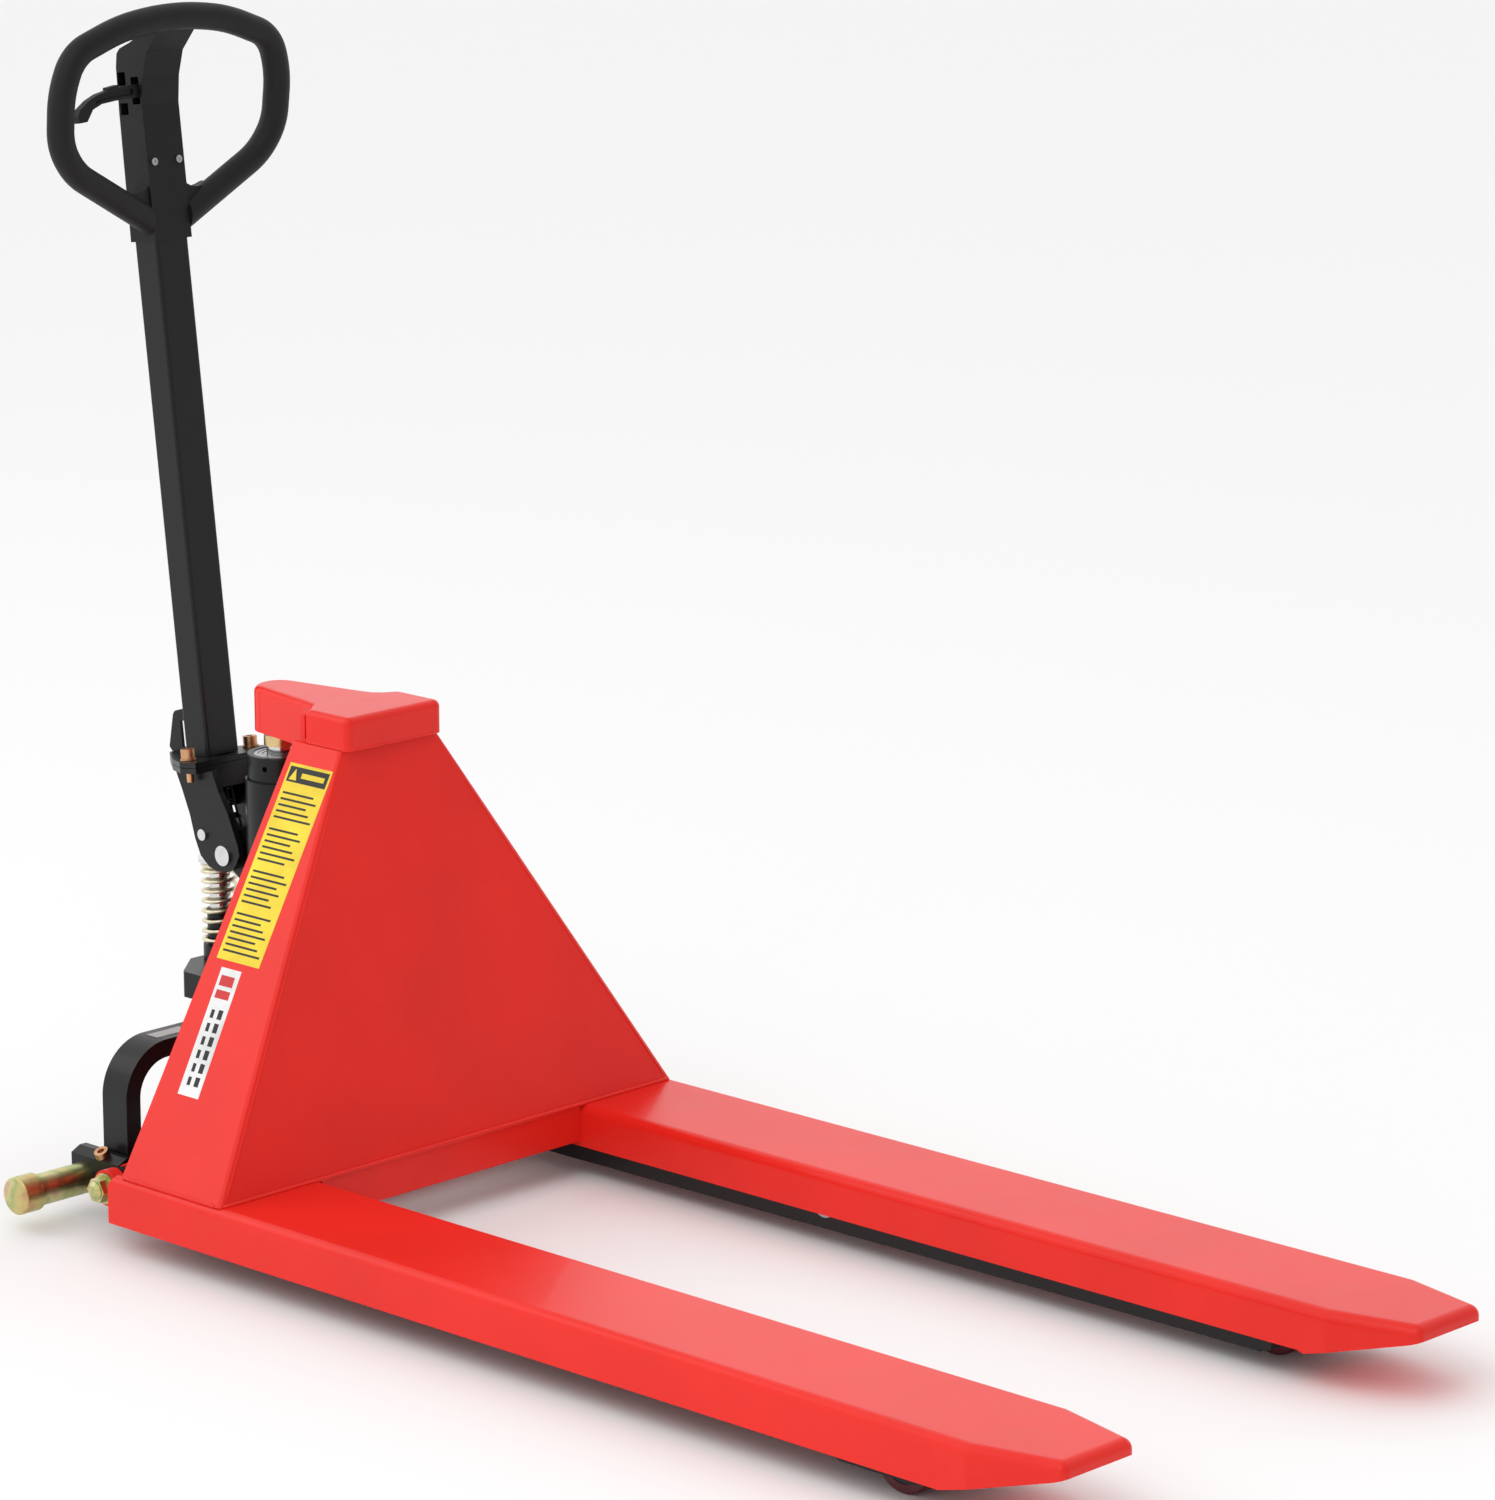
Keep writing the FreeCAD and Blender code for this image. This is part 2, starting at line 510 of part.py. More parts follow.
def buildHandleFoot():
    # two plates bolted face to face: the lower one carries the cheeks, the upper one the tube
    side = [(-262, 8), (-214, 45), (-184, 60), (-157, 60)]
    plan = [(x, -y) for x, y in side] + [(x, y) for x, y in reversed(side)]
    plateFoot, plateThick, gap = 452.0, 6.0, 0.6
    topFace = plateFoot + 2 * plateThick + gap
    deck = planProfile(plan, plateFoot, plateFoot + plateThick).cut(block(-204, -172, -12, 12, 440, 470))
    upper = deck.copy()
    upper.translate(V(0, 0, plateThick + gap))
    holes = [(-184.4, -46), (-184.4, 46)]
    bolts = []
    for x, y in holes:
        hole = rod(5, x, y, 430, 40, alongZ)
        deck = deck.cut(hole)
        upper = upper.cut(hole)
        washer = ring(9.3, 4, x, y, topFace + 0.4, 2, alongZ)
        head = rod(8, x, y, topFace + 2.4, 10.5, alongZ).cut(rod(4, x, y, topFace + 7, 10, alongZ))
        bolts.append(leaning(fused(rod(4, x, y, 440, topFace + 3 - 440, alongZ), washer, head)))
    rearWeb = sideProfile([(-205, 398), (-200, 396), (-224, 449), (-229, 449)], -30.5, 30.5)
    frontBar = block(-178, -172, -30.5, 30.5, 428, 450)
    keep("handle_bracket", fused(leaning(deck), cheek(), mirrored(cheek()), rearWeb, frontBar))
    keep("flange_bolts", Part.makeCompound(bolts))
    gusset = sideProfile([(-215.9, topFace), (-264, topFace), (-268, 470), (-256.5, 507), (-253, 511),
                          (-240, 513.5), (-215.9, 513.5)], -2, 2)
    gusset = gusset.cut(block(-245.5, -238.5, -4, 4, 470, 500))
    keep("handle_flange", leaning(fused(upper, gusset)))
    keep("roller_pin", rod(6.5, -183.9, -41, 375.4, 82, alongY))
    keep("pressure_roller", ring(15, 6.5 + runClear, -183.9, -14, 375.4, 28, alongY))


def buildHandleTube():
    z0, z1 = 465.0, 1100.0
    tube = block(tubeX - tubeDeep / 2, tubeX + tubeDeep / 2, -tubeWide / 2, tubeWide / 2, z0, z1)
    wall = 3.0
    bore = block(tubeX - tubeDeep / 2 + wall, tubeX + tubeDeep / 2 - wall,
                 -tubeWide / 2 + wall, tubeWide / 2 - wall, z0 - 1, z1 + 1)
    edges = lambda e: e.BoundBox.ZLength > 500
    keep("handle_tube", leaning(rounded(tube, 4, edges).cut(bore)))


leverPinY, leverZ = 15.0, 1207.0
gripFront, gripRear, gripFoot, gripHalf = -175.4, -219.4, 1041.0, 26.5
screwY = (-17.5, 17.5)


def gripHousing():
    # moulded stem that sleeves over the tube, with a beak forward into the loop's top
    outline = [(gripFront, gripFoot), (gripFront, 1191), (-170.2, 1220), (-159.4, 1247), (-137.2, 1268),
               (-125, 1279), (-140, 1291), (-152, 1280), (-160, 1271), (-186.4, 1259.5), (-204, 1254),
               (-212.6, 1246), (-215.2, 1234), (-217.3, 1184), (-218.3, 1115), (gripRear, gripFoot)]
    stem = sideProfile(outline, -gripHalf, gripHalf)
    stem = rounded(stem, 3.5, lambda e: e.BoundBox.YLength < 1 and e.BoundBox.XMax < -212)
    sleeve = block(tubeX - tubeDeep / 2, tubeX + tubeDeep / 2, -tubeWide / 2, tubeWide / 2, gripFoot - 5, 1100)
    pocket = block(-214, -178.4, -17, 24, 1099, 1232)
    leverSlot = block(-190.5, -177.5, -30, 24, leverZ - 15, leverZ + 15)
    windows = block(-212, -199, -30, -16, 1213, 1228).fuse(block(-212, -199, -30, -16, 1181, 1194))
    pinHole = rod(3, -212, leverPinY, leverZ, 35.2, alongX)
    screwHoles = pair(rod(2.6, gripFront - 8, screwY[1], 1128, 20, alongX))
    for hollow in (sleeve, pocket, leverSlot, windows, pinHole, screwHoles):
        stem = stem.cut(hollow)
    return leaning(stem)


def gripLoop():
    # closed loop of round bar, standing a little forward of the tube's line
    baseX, baseZ, lean, radius = -268.5, 1043.0, 0.10, 15.0

    def at(y, z):
        return V(baseX + lean * (z - baseZ), y, z)

    half = [(26, 1056), (82, 1088), (133, 1117), (154.5, 1149), (156, 1206), (141, 1248), (76, 1272), (0, 1279)]
    right = [at(-y, z) for y, z in half]
    left = [at(y, z) for y, z in reversed(half[:-1])]
    path = [at(-10, 1047)] + right[:-1] + [at(-24, 1279), at(24, 1279)] + left + [at(10, 1047)]
    loop = tubePath(path, radius)
    webLine = [(gripHalf, 1060), (gripHalf, 1102), (30, 1099.5), (35, 1097), (42, 1095.5), (50, 1095.8),
               (58, 1097.5), (66, 1100), (62, 1080)]
    web = leaning(frontProfile(webLine, -198, -178))
    return loop.fuse([web, mirrored(web)])


def releaseLever():
    # finger lever reaching across the right opening of the loop
    line = [(21, -7.5), (-41, -7.6), (-60.5, -8.5), (-79.7, -10.5), (-92.6, -15.5), (-102, -28), (-113.6, -28.8),
            (-114.5, -21), (-110, -14), (-97, -5.4), (-82.5, 0.6), (-68, 3.7), (-68, 6.5), (-53.5, 8.5),
            (-53.5, 5.3), (-40.8, 6.5), (21, 7.5)]
    lever = frontProfile([(y, leverZ + dz) for y, dz in line], -189.0, -179.0)
    recess = frontProfile([(y, leverZ + dz) for y, dz in (
        (-34, -4), (-60, -5), (-79, -7), (-88, -9.5), (-84, -3), (-64, 1), (-34, 3))], -181.5, -178.0)
    lever = lever.cut(recess)
    return lever.cut(rod(3 + runClear, -195, leverPinY, leverZ, 20, alongX))


def chainLink(centre, direction, turned):
    # one oval link of round wire
    wire, halfWide, halfLong = 1.5, 3.9, 6.2
    p = [V(halfWide, 0, -halfLong), V(halfWide, 0, halfLong), V(0, 0, halfLong + halfWide),
         V(-halfWide, 0, halfLong), V(-halfWide, 0, -halfLong), V(0, 0, -halfLong - halfWide)]
    path = Part.Wire([Part.LineSegment(p[0], p[1]).toShape(), Part.Arc(p[1], p[2], p[3]).toShape(),
                      Part.LineSegment(p[3], p[4]).toShape(), Part.Arc(p[4], p[5], p[0]).toShape()])
    section = Part.Wire([Part.Circle(p[0], alongZ, wire).toShape()])
    link = path.makePipeShell([section], True, True)
    link.rotate(V(0, 0, 0), alongZ, 90 if turned else 0)
    tilt = math.degrees(math.atan2(direction.x, direction.z))
    link.rotate(V(0, 0, 0), alongY, tilt)
    link.translate(centre)
    return link


rodFootZ = 466.5          # the release rod starts clear of the top chain link


def buildRelease():
    keep("release_lever", leaning(releaseLever()))
    keep("release_lever_pin", leaning(rod(3, -212, leverPinY, leverZ, 35, alongX)))
    keep("release_rod", leaning(rod(2.5, -184, 0, rodFootZ, leverZ - 9.5 - rodFootZ, alongZ)))
    top, bottom = V(-195.8, 0, 456), V(-166, 0, 378)
    run = (bottom - top)
    count = 5
    links = []
    for k in range(count):
        centre = top + run * ((k + 0.5) / count)
        links.append(chainLink(centre, run * -1, k % 2 == 0))
    keep("release_chain", Part.makeCompound(links))


def buildGrip():
    stem = gripHousing()
    keep("grip_housing", stem)
    screws = []
    for y in screwY:
        shank = rod(2.5, gripFront - 6, y, 1128, 6.2, alongX)
        head = rod(4.2, gripFront + 0.1, y, 1128, 2.2, alongX).cut(rod(2, gripFront + 1.2, y, 1128, 2, alongX))
        screws.append(leaning(head.fuse(shank)))
    keep("grip_screws", Part.makeCompound(screws))
    stemRoom = leaning(block(-230, -150, -gripHalf, gripHalf, 1020, 1180))
    keep("grip_loop", gripLoop().cut(stem).cut(stemRoom))


buildForkFrame()
buildRam()
buildScissor()
buildChassis()
buildStabilisers()
buildSteering()
buildPump()
buildHandleFoot()
buildHandleTube()
buildGrip()
buildRelease()

os.makedirs("parts", exist_ok=True)
for name, shape in nodes.items():
    shape.translate(V(-originX, 0, 0))
    shape.exportStep("parts/" + name + ".step")
whole = Part.makeCompound(list(nodes.values())).BoundBox
print(len(nodes), "nodes", round(whole.XMin, 2), round(whole.XMax, 2), round(whole.YMin, 2),
      round(whole.YMax, 2), round(whole.ZMin, 2), round(whole.ZMax, 2))
for name, shape in nodes.items():
    if not shape.isValid() or any(s.Volume < 1 for s in shape.Solids) or not shape.Solids:
        print("check", name, shape.isValid(), [round(s.Volume) for s in shape.Solids])
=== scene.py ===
import json
import math
import random
import bpy
import bmesh
from mathutils import Matrix, Vector


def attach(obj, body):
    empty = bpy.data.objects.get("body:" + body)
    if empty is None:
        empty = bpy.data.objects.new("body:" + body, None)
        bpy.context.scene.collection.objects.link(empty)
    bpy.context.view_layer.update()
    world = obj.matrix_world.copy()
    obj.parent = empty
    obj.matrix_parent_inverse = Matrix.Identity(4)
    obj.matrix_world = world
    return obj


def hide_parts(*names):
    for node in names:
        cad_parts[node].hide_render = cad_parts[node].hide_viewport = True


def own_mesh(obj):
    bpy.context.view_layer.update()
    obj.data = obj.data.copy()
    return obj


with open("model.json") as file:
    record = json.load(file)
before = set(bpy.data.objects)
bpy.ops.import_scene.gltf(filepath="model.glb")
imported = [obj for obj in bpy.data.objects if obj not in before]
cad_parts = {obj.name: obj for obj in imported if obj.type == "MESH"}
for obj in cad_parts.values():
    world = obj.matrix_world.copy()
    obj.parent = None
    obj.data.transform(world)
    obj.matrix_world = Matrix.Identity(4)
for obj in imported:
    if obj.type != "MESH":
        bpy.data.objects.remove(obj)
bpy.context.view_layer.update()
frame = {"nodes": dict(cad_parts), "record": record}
scene = bpy.context.scene
scene.view_settings.view_transform = "Standard"
nodes = frame["nodes"]
random.seed(4)

# points are in millimetres, measured along X from the back edge of the fork frame
mm = 0.001
backEdge = 505.45


def at(x, y, z):
    return Vector(((x - backEdge) * mm, y * mm, z * mm))


# shader helpers

def newMaterial(name):
    material = bpy.data.materials.new(name)
    material.use_nodes = True
    tree = material.node_tree
    shader = tree.nodes["Principled BSDF"]
    return material, tree, shader


def addNoise(tree, scale, detail=4.0, stretch=None):
    place = tree.nodes.new("ShaderNodeTexCoord")
    noise = tree.nodes.new("ShaderNodeTexNoise")
    noise.inputs["Scale"].default_value = scale
    noise.inputs["Detail"].default_value = detail
    if stretch:
        mapping = tree.nodes.new("ShaderNodeMapping")
        mapping.inputs["Scale"].default_value = stretch
        tree.links.new(place.outputs["Object"], mapping.inputs["Vector"])
        tree.links.new(mapping.outputs["Vector"], noise.inputs["Vector"])
    else:
        tree.links.new(place.outputs["Object"], noise.inputs["Vector"])
    return noise


def addRamp(tree, source, stops):
    ramp = tree.nodes.new("ShaderNodeValToRGB")
    band = ramp.color_ramp
    while len(band.elements) < len(stops):
        band.elements.new(0.5)
    for element, (spot, tone) in zip(band.elements, stops):
        element.position = spot
        element.color = tone if len(tone) == 4 else (*tone, 1)
    tree.links.new(source, ramp.inputs["Fac"])
    return ramp


def addRange(tree, source, low, high):
    span = tree.nodes.new("ShaderNodeMapRange")
    span.inputs["To Min"].default_value = low
    span.inputs["To Max"].default_value = high
    tree.links.new(source, span.inputs["Value"])
    return span.outputs["Result"]


def addBump(tree, shader, source, strength, depth):
    bump = tree.nodes.new("ShaderNodeBump")
    bump.inputs["Strength"].default_value = strength
    bump.inputs["Distance"].default_value = depth
    tree.links.new(source, bump.inputs["Height"])
    tree.links.new(bump.outputs["Normal"], shader.inputs["Normal"])
    return bump


def shade(tone, factor):
    return tuple(min(1.0, part * factor) for part in tone)


def enamel(name, look):
    # sprayed and baked paint: faint cloudiness, orange peel, a clear gloss
    material, tree, shader = newMaterial(name)
    cloud = addNoise(tree, 6.0, 3.0)
    tones = [(0.3, shade(look["tone"], 0.93)), (0.7, shade(look["tone"], 1.05))]
    tint = addRamp(tree, cloud.outputs["Fac"], tones)
    tree.links.new(tint.outputs["Color"], shader.inputs["Base Color"])
    smear = addNoise(tree, 24.0, 5.0)
    tree.links.new(addRange(tree, smear.outputs["Fac"], *look["roughness"]), shader.inputs["Roughness"])
    shader.inputs["Specular IOR Level"].default_value = look["specular"]
    shader.inputs["Coat Weight"].default_value = look["coat"]
    shader.inputs["Coat Roughness"].default_value = 0.06
    peel = addNoise(tree, look["peelScale"], 2.0)
    addBump(tree, shader, peel.outputs["Fac"], look["peel"], 0.0004)
    return material


def metal(name, look):
    # turned, drawn or plated metal: fine tool lines round or along the work
    material, tree, shader = newMaterial(name)
    shader.inputs["Metallic"].default_value = 1.0
    cloud = addNoise(tree, look.get("cloud", 90.0), 4.0)
    tint = addRamp(tree, cloud.outputs["Fac"], look["tones"])
    tree.links.new(tint.outputs["Color"], shader.inputs["Base Color"])
    lines = addNoise(tree, 420.0, 3.0, look["lay"])
    tree.links.new(addRange(tree, lines.outputs["Fac"], *look["roughness"]), shader.inputs["Roughness"])
    addBump(tree, shader, lines.outputs["Fac"], look["lines"], 0.0002)
    return material


def moulding(name, look):
    # moulded nylon or rubber with a fine even grain
    material, tree, shader = newMaterial(name)
    cloud = addNoise(tree, 14.0, 4.0)
    tones = [(0.3, shade(look["tone"], 0.8)), (0.7, shade(look["tone"], 1.25))]
    tint = addRamp(tree, cloud.outputs["Fac"], tones)
    tree.links.new(tint.outputs["Color"], shader.inputs["Base Color"])
    scuff = addNoise(tree, 60.0, 6.0)
    tree.links.new(addRange(tree, scuff.outputs["Fac"], *look["roughness"]), shader.inputs["Roughness"])
    shader.inputs["Specular IOR Level"].default_value = look["specular"]
    grain = addNoise(tree, look["grainScale"], 2.0)
    addBump(tree, shader, grain.outputs["Fac"], look["grain"], 0.0003)
    return material


paints = {
    "red_paint": {"tone": (0.84, 0.021, 0.013), "roughness": (0.26, 0.36), "specular": 0.2, "coat": 0.12,
                  "peelScale": 330.0, "peel": 0.05},
    "black_paint": {"tone": (0.005, 0.005, 0.006), "roughness": (0.30, 0.42), "specular": 0.28, "coat": 0.05,
                    "peelScale": 480.0, "peel": 0.12},
}
metals = {
    "zinc_yellow": {"tones": [(0.30, (0.55, 0.34, 0.16)), (0.42, (0.62, 0.52, 0.22)),
                              (0.52, (0.40, 0.46, 0.20)), (0.62, (0.66, 0.60, 0.30)),
                              (0.74, (0.60, 0.36, 0.30))],
                    "cloud": 30.0, "lay": (1, 9, 1), "roughness": (0.24, 0.38), "lines": 0.15},
    "copper_zinc": {"tones": [(0.3, (0.50, 0.24, 0.12)), (0.7, (0.72, 0.42, 0.22))],
                    "lay": (1, 1, 6), "roughness": (0.28, 0.42), "lines": 0.1},
    "chrome": {"tones": [(0.3, (0.62, 0.62, 0.63)), (0.7, (0.72, 0.72, 0.73))],
               "lay": (1, 1, 9), "roughness": (0.10, 0.18), "lines": 0.05},
    "brass": {"tones": [(0.3, (0.60, 0.42, 0.20)), (0.7, (0.74, 0.56, 0.28))],
              "lay": (1, 1, 9), "roughness": (0.2, 0.3), "lines": 0.1},
    "steel": {"tones": [(0.3, (0.38, 0.38, 0.39)), (0.7, (0.50, 0.50, 0.51))],
              "lay": (1, 9, 1), "roughness": (0.3, 0.45), "lines": 0.15},
    "spring_zinc": {"tones": [(0.3, (0.66, 0.58, 0.40)), (0.6, (0.78, 0.72, 0.55)),
                              (0.75, (0.70, 0.66, 0.42))],
                    "lay": (1, 1, 9), "roughness": (0.25, 0.35), "lines": 0.08},
}
mouldings = {
    "grip_plastic": {"tone": (0.007, 0.007, 0.008), "roughness": (0.5, 0.62), "specular": 0.28,
                     "grainScale": 1500.0, "grain": 0.35},
    "steer_tyre": {"tone": (0.02, 0.02, 0.02), "roughness": (0.55, 0.75), "specular": 0.35,
                   "grainScale": 700.0, "grain": 0.3},
    "cast_hub": {"tone": (0.02, 0.02, 0.021), "roughness": (0.45, 0.6), "specular": 0.4,
                 "grainScale": 500.0, "grain": 0.5},
    "load_tyre": {"tone": (0.10, 0.008, 0.014), "roughness": (0.35, 0.5), "specular": 0.5,
                  "grainScale": 500.0, "grain": 0.15},
}
finish = {}
for name, look in paints.items():
    finish[name] = enamel(name, look)
for name, look in metals.items():
    finish[name] = metal(name, look)
for name, look in mouldings.items():
    finish[name] = moulding(name, look)
for part in frame["record"]["subparts"]:
    mesh = nodes[part["node"]].data
    mesh.materials.clear()
    mesh.materials.append(finish[part["material_slot"]])
print("finishes on", len(nodes), "nodes")


# mesh helpers

def newPiece(name, mesh, material, body):
    piece = bpy.data.objects.new(name, mesh)
    scene.collection.objects.link(piece)
    mesh.materials.clear()
    mesh.materials.append(material)
    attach(piece, body)
    return piece


def sweptMesh(name, points, radii, sides):
    # round section swept along points, ends closed
    build = bmesh.new()
    rings = []
    for i, (point, radius) in enumerate(zip(points, radii)):
        along = (points[min(i + 1, len(points) - 1)] - points[max(i - 1, 0)]).normalized()
        across = along.cross(Vector((0.31, 0.17, 0.93)))
        across.normalize()
        other = along.cross(across)
        ring = []
        for k in range(sides):
            turn = 2 * math.pi * k / sides
            ring.append(build.verts.new(point + (across * math.cos(turn) + other * math.sin(turn)) * radius))
        rings.append(ring)
    for a, b in zip(rings, rings[1:]):
        for k in range(sides):
            build.faces.new((a[k], a[(k + 1) % sides], b[(k + 1) % sides], b[k]))
    build.faces.new(rings[0][::-1])
    build.faces.new(rings[-1])
    bmesh.ops.recalc_face_normals(build, faces=build.faces[:])
    for face in build.faces:
        face.smooth = True
    mesh = bpy.data.meshes.new(name)
    build.to_mesh(mesh)
    build.free()
    return mesh


# pump return spring: open in the middle, with a dead coil at each end
spring = {"wire": 2.25, "coil": 19.2, "turns": 9.0, "deadTurns": 0.9, "foot": 240.5, "head": 336.0,
          "pump": -201.5, "gap": 0.2, "steps": 32, "sides": 10, "closed": 0.478}


def springHeight(turn):
    dead, last = spring["deadTurns"], spring["turns"]
    low = spring["foot"] + spring["wire"] + spring["gap"]
    high = spring["head"] - spring["wire"] - spring["gap"]
    rise = 2 * spring["wire"] * 1.04
    if turn < dead:
        return low + rise * turn * 0.9
    if turn > last - dead:
        return high - rise * (last - turn) * 0.9
    start, end = low + rise * dead * 0.9, high - rise * dead * 0.9
    return start + (end - start) * (turn - dead) / (last - 2 * dead)


steps = int(spring["turns"] * spring["steps"])
wirePath = []
for k in range(steps + 1):
    turn = spring["turns"] * k / steps
    wirePath.append(at(spring["pump"] + spring["coil"] * math.cos(2 * math.pi * turn),
                       spring["coil"] * math.sin(2 * math.pi * turn), springHeight(turn)))
wireRadii = [spring["wire"] * mm] * len(wirePath)
coil = newPiece("returnSpring", sweptMesh("returnSpring", wirePath, wireRadii, spring["sides"]),
                finish["spring_zinc"], "steering")
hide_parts("pump_spring")
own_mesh(coil)
print("return spring wound")

# the head's panels lean in and back as they rise
panel = {"footY": 338.0, "footX": 177.0, "leanY": 0.617, "leanX": 0.216, "deck": 85}


def sideY(z):
    return panel["footY"] - (z - panel["deck"]) * panel["leanY"]


def panelX(z):
    return panel["footX"] - (z - panel["deck"]) * panel["leanX"]


# weld beads: rippled runs along the joints, each with its own radius
beads = {"ripple": 2.6, "sides": 8, "cap": 1.7, "foot": 2.4, "seam": 1.3, "capFront": 1.8, "panelFoot": 3.0,
         "capZ": 519.6, "capSide": 69.2, "capNose": 93.4}


def bead(name, points, width):
    dense = []
    for a, b in zip(points, points[1:]):
        count = max(2, int((b - a).length / mm / (beads["ripple"] / 4)))
        dense += [a + (b - a) * (i / count) for i in range(count)]
    dense.append(points[-1])
    radii = []
    for i, point in enumerate(dense):
        wave = 0.5 + 0.5 * math.cos(2 * math.pi * i / 4)
        end = min(1.0, 0.35 + 0.65 * min(i, len(dense) - 1 - i) / 6)
        radii.append(width * mm * end * (0.88 + 0.12 * wave + random.uniform(-0.03, 0.03)))
    mesh = sweptMesh(name, dense, radii, beads["sides"])
    return newPiece(name, mesh, finish["red_paint"], "fork_frame")


capZ, footY = beads["capZ"], 336.5
for side, word in ((-1, "right"), (1, "left")):
    capY = side * beads["capSide"]
    bead(word + "CapWeld", [at(30, capY, capZ), at(84, capY, capZ)], beads["cap"])
    bead(word + "FootWeld", [at(24, side * footY, 85.6), at(170, side * footY, 85.6)], beads["foot"])
    seam = [at(panelX(z) - 0.2, side * (sideY(z) - 6.5), z) for z in range(92, 516, 53)]
    bead(word + "SeamWeld", seam, beads["seam"])
bead("capFrontWeld", [at(beads["capNose"], -60, capZ), at(beads["capNose"], 60, capZ)], beads["capFront"])
bead("panelFootWeld", [at(177.4, -334, 86), at(177.4, 334, 86)], beads["panelFoot"])
print("weld beads laid")

# printed plates and stickers: thin raised sheets, with plain bars in place of wording
inkTones = {
    "yellow": ("plateYellow", (0.86, 0.62, 0.03), 0.42),
    "black": ("plateBlack", (0.012, 0.012, 0.012), 0.42),
    "white": ("plateWhite", (0.80, 0.80, 0.80), 0.42),
    "grey": ("plateGrey", (0.42, 0.42, 0.43), 0.4),
    "redInk": ("plateRed", (0.62, 0.03, 0.03), 0.42),
}
inks = {}
for ink, (name, tone, gloss) in inkTones.items():
    inks[ink] = moulding(name, {"tone": tone, "roughness": (gloss - 0.06, gloss + 0.06), "specular": 0.35,
                                "grainScale": 900.0, "grain": 0.08})
layer = {"lift": 0.05, "thick": 0.12}


def sheetPatch(name, corners, out, lift, thick, material, body):
    # a thin slab on flat corners, standing off its surface by lift
    build = bmesh.new()
    low = [build.verts.new(c + out * lift * mm) for c in corners]
    high = [build.verts.new(c + out * (lift + thick) * mm) for c in corners]
    count = len(corners)
    build.faces.new(low[::-1])
    build.faces.new(high)
    for k in range(count):
        build.faces.new((low[k], low[(k + 1) % count], high[(k + 1) % count], high[k]))
    bmesh.ops.recalc_face_normals(build, faces=build.faces[:])
    mesh = bpy.data.meshes.new(name)
    build.to_mesh(mesh)
    build.free()
    return newPiece(name, mesh, material, body)


panelOut = Vector((0, -1, panel["leanY"])).normalized()


def panelPatch(name, corners, level, ink):
    # corners are (X, Z) on the right side panel, and each level lies on the one below
    spots = [at(x, -sideY(z), z) for x, z in corners]
    lift = layer["lift"] + layer["thick"] * level
    return sheetPatch(name, spots, panelOut, lift, layer["thick"], inks[ink], "fork_frame")


notice = {"left": 16, "right": 84, "head": 498, "foot": 304, "lean": 9, "rowFoot": 312, "rowHead": 474,
          "rowGap": 6, "rowThick": 2.0, "rowLeft": 21, "rowWidth": 58, "blankRows": (354, 396, 438)}


def leaningBox(left, right, foot, head):
    # an upright box on the notice, slanted with the panel's back edge
    shifts = [notice["lean"] * (500 - z) / 200 for z in (foot, head)]
    return [(left + shifts[0], foot), (right + shifts[0], foot),
            (right + shifts[1], head), (left + shifts[1], head)]


outline = leaningBox(notice["left"], notice["right"], notice["foot"], notice["head"])
panelPatch("noticePlate", outline, 0, "yellow")
panelPatch("noticeHeader", leaningBox(19, 81, 480, 495), 1, "black")
panelPatch("noticeTriangle", [(23, 482), (35, 482), (29, 493)], 2, "yellow")
panelPatch("noticeWord", leaningBox(40, 76, 485, 490), 2, "yellow")
row = 0
for z in range(notice["rowFoot"], notice["rowHead"], notice["rowGap"]):
    if z in notice["blankRows"]:
        continue
    right = notice["rowLeft"] + notice["rowWidth"] - (row * 7) % 19
    bar = leaningBox(notice["rowLeft"], right, z, z + notice["rowThick"])
    panelPatch("noticeRow%d" % row, bar, 1, "black")
    row += 1

strip = {"count": 6, "foot": 184, "gap": 13, "slope": 0.098}
panelPatch("makerStrip", [(49, 174), (82, 174), (70, 297), (38, 297)], 0, "white")
panelPatch("makerMark", [(45, 268), (67, 268), (64, 290), (43, 290)], 1, "redInk")
panelPatch("makerMarkBar", [(44.5, 276), (66.5, 276), (66, 280), (44, 280)], 2, "white")
for k in range(strip["count"]):
    z = strip["foot"] + k * strip["gap"]
    x = 79.5 - (z - 174) * strip["slope"]
    panelPatch("makerBar%d" % k, [(x - 11, z), (x - 4, z), (x - 5, z + 9), (x - 12, z + 9)], 1, "black")
    panelPatch("makerBarB%d" % k, [(x - 22, z), (x - 17, z), (x - 18, z + 8), (x - 23, z + 8)], 1, "black")

# a blank rating plate on the arch, and a plain label let into each fork's tip
up = Vector((0, 0, 1))
ratingPlate = {"x": (-103, -85), "y": (-196, -150), "z": 191.5, "lift": 0.05, "thick": 0.3}
tipLabel = {"x": (1262, 1306), "half": 20, "forkY": 268, "z": 85, "lift": -0.16, "thick": 0.12}


def flatBox(xs, ys, z):
    return [at(xs[0], ys[0], z), at(xs[1], ys[0], z), at(xs[1], ys[1], z), at(xs[0], ys[1], z)]


sheetPatch("ratingPlate", flatBox(ratingPlate["x"], ratingPlate["y"], ratingPlate["z"]), up,
           ratingPlate["lift"], ratingPlate["thick"], inks["grey"], "chassis")
for side, word in ((-1, "right"), (1, "left")):
    midY = side * tipLabel["forkY"]
    ys = (midY - tipLabel["half"], midY + tipLabel["half"])
    sheetPatch(word + "TipSticker", flatBox(tipLabel["x"], ys, tipLabel["z"]), up,
               tipLabel["lift"], tipLabel["thick"], inks["white"], "fork_frame")
print("plates and stickers fixed")

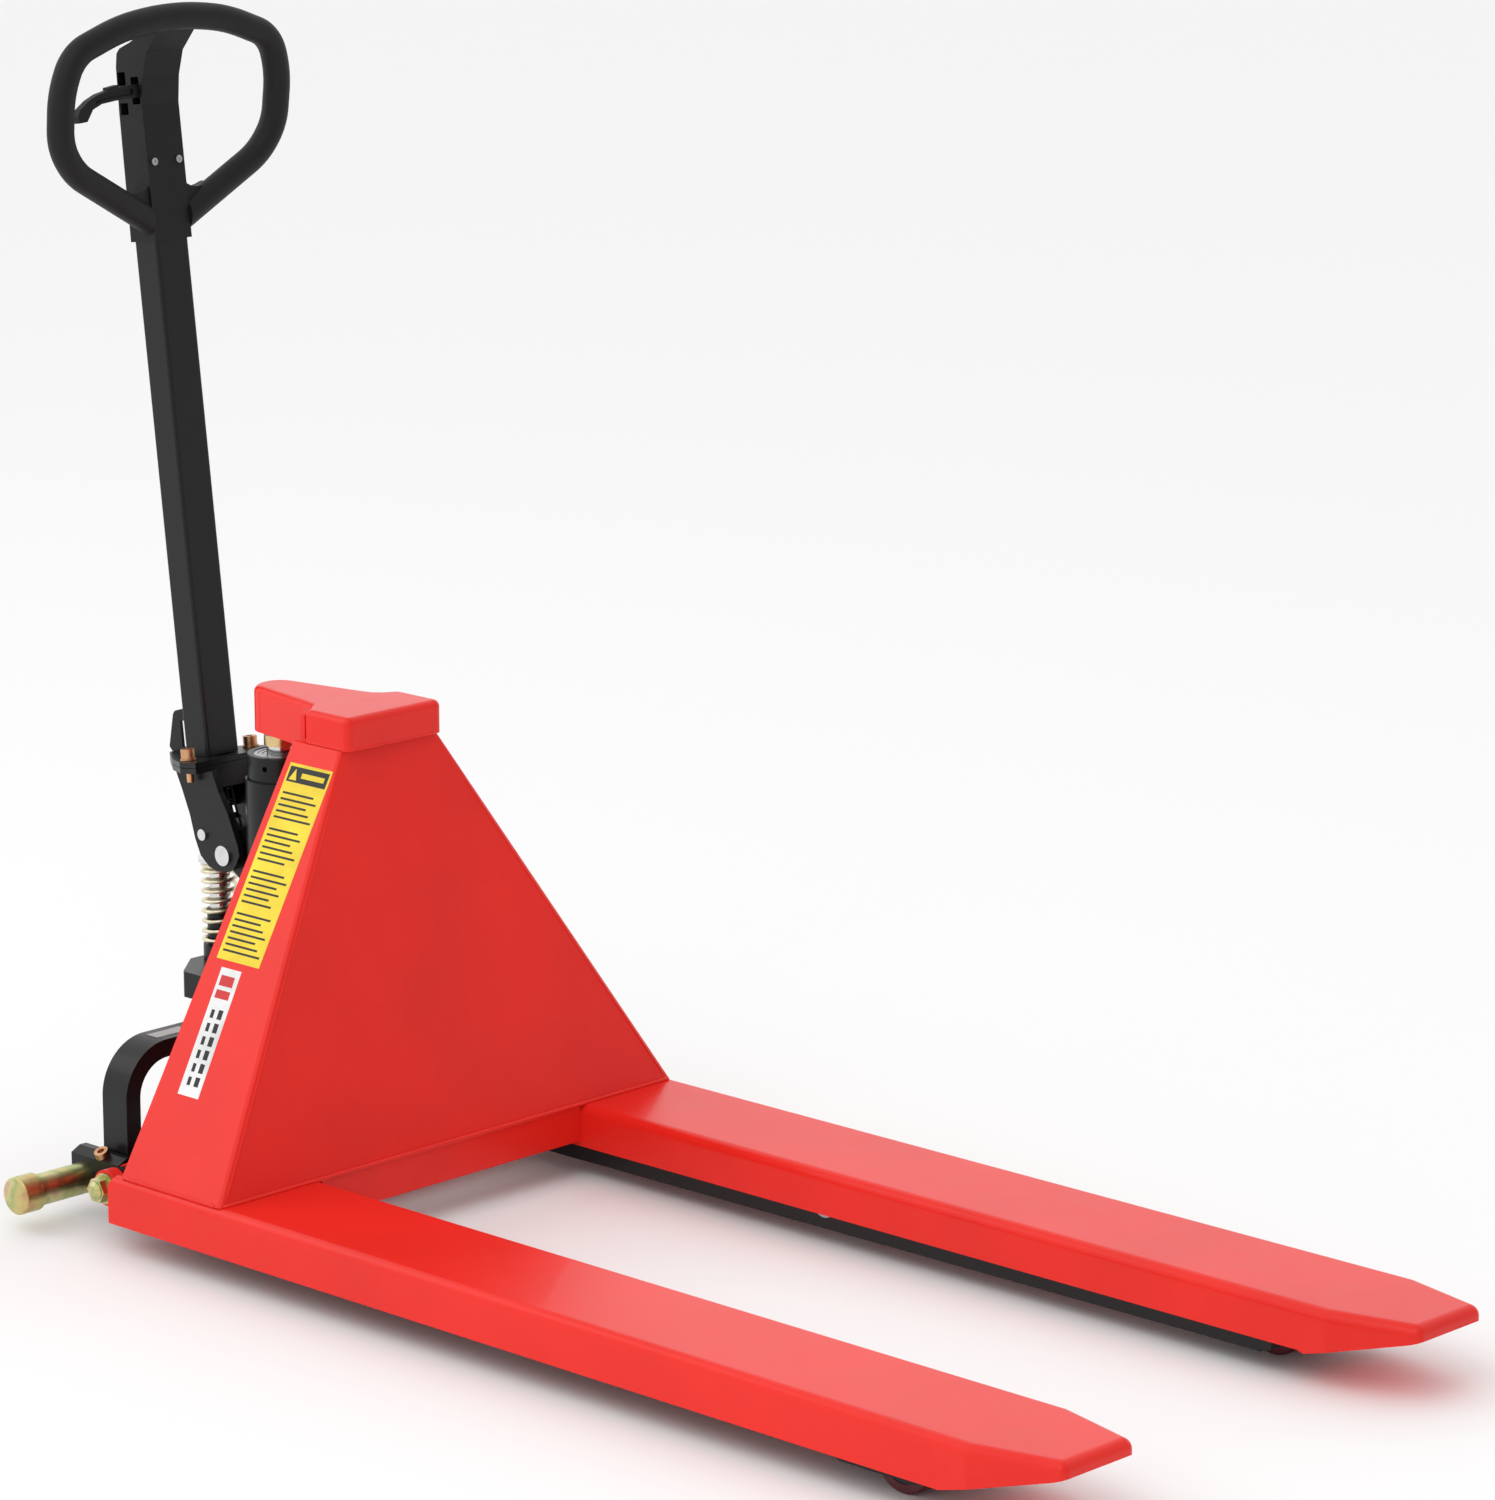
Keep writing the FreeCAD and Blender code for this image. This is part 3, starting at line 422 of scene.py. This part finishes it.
# studio
studio = {"floorTone": 0.95, "floorSize": 30, "skyPower": 1.12, "skyDark": 0.52, "fadeFrom": -0.2,
          "fadeTo": 0.9}
bpy.ops.mesh.primitive_plane_add(size=studio["floorSize"], location=(0, 0, 0))
floor = bpy.context.object
floor.name = "studioFloor"
floorMaterial, floorTree, floorShader = newMaterial("paleFloor")
floorShader.inputs["Base Color"].default_value = (studio["floorTone"],) * 3 + (1,)
floorShader.inputs["Roughness"].default_value = 0.9
floor.data.materials.append(floorMaterial)

# the sky is brightest on the handle's side and fades towards the fork tips
world = bpy.data.worlds.new("studioSky")
world.use_nodes = True
skyTree = world.node_tree
compass = skyTree.nodes.new("ShaderNodeTexCoord")
split = skyTree.nodes.new("ShaderNodeSeparateXYZ")
skyTree.links.new(compass.outputs["Generated"], split.inputs["Vector"])
fade = skyTree.nodes.new("ShaderNodeMapRange")
fade.inputs["From Min"].default_value = studio["fadeFrom"]
fade.inputs["From Max"].default_value = studio["fadeTo"]
fade.inputs["To Min"].default_value = studio["skyPower"]
fade.inputs["To Max"].default_value = studio["skyDark"]
skyTree.links.new(split.outputs["X"], fade.inputs["Value"])
skyTree.nodes["Background"].inputs["Color"].default_value = (1, 1, 1, 1)
skyTree.links.new(fade.outputs["Result"], skyTree.nodes["Background"].inputs["Strength"])
scene.world = world

softboxes = [
    {"spot": (1.0, -3.5, 4.5), "aim": (0, 0, 0.3), "size": 3.5, "power": 48},
    {"spot": (-4.5, -2.5, 3.5), "aim": (-0.4, 0, 0.5), "size": 2.5, "power": 22},
]
for number, box in enumerate(softboxes):
    lamp = bpy.data.lights.new("softbox%d" % number, "AREA")
    lamp.size = box["size"]
    lamp.energy = box["power"]
    holder = bpy.data.objects.new("softbox%d" % number, lamp)
    holder.location = box["spot"]
    beam = Vector(box["aim"]) - Vector(box["spot"])
    holder.rotation_euler = beam.to_track_quat("-Z", "Y").to_euler()
    scene.collection.objects.link(holder)

lens = {"spot": (4.098136, -4.161503, 1.921421), "turn": 43.742, "dip": 12.985, "roll": -0.098,
        "length": 139.21}
camera = bpy.data.objects.new("camera", bpy.data.cameras.new("camera"))
camera.data.lens = lens["length"]
camera.data.sensor_width = 36
camera.matrix_world = (Matrix.Translation(lens["spot"]) @ Matrix.Rotation(math.radians(lens["turn"]), 4, "Z")
                       @ Matrix.Rotation(math.radians(90 - lens["dip"]), 4, "X")
                       @ Matrix.Rotation(math.radians(lens["roll"]), 4, "Z"))
scene.collection.objects.link(camera)
scene.camera = camera
print("studio and camera ready")
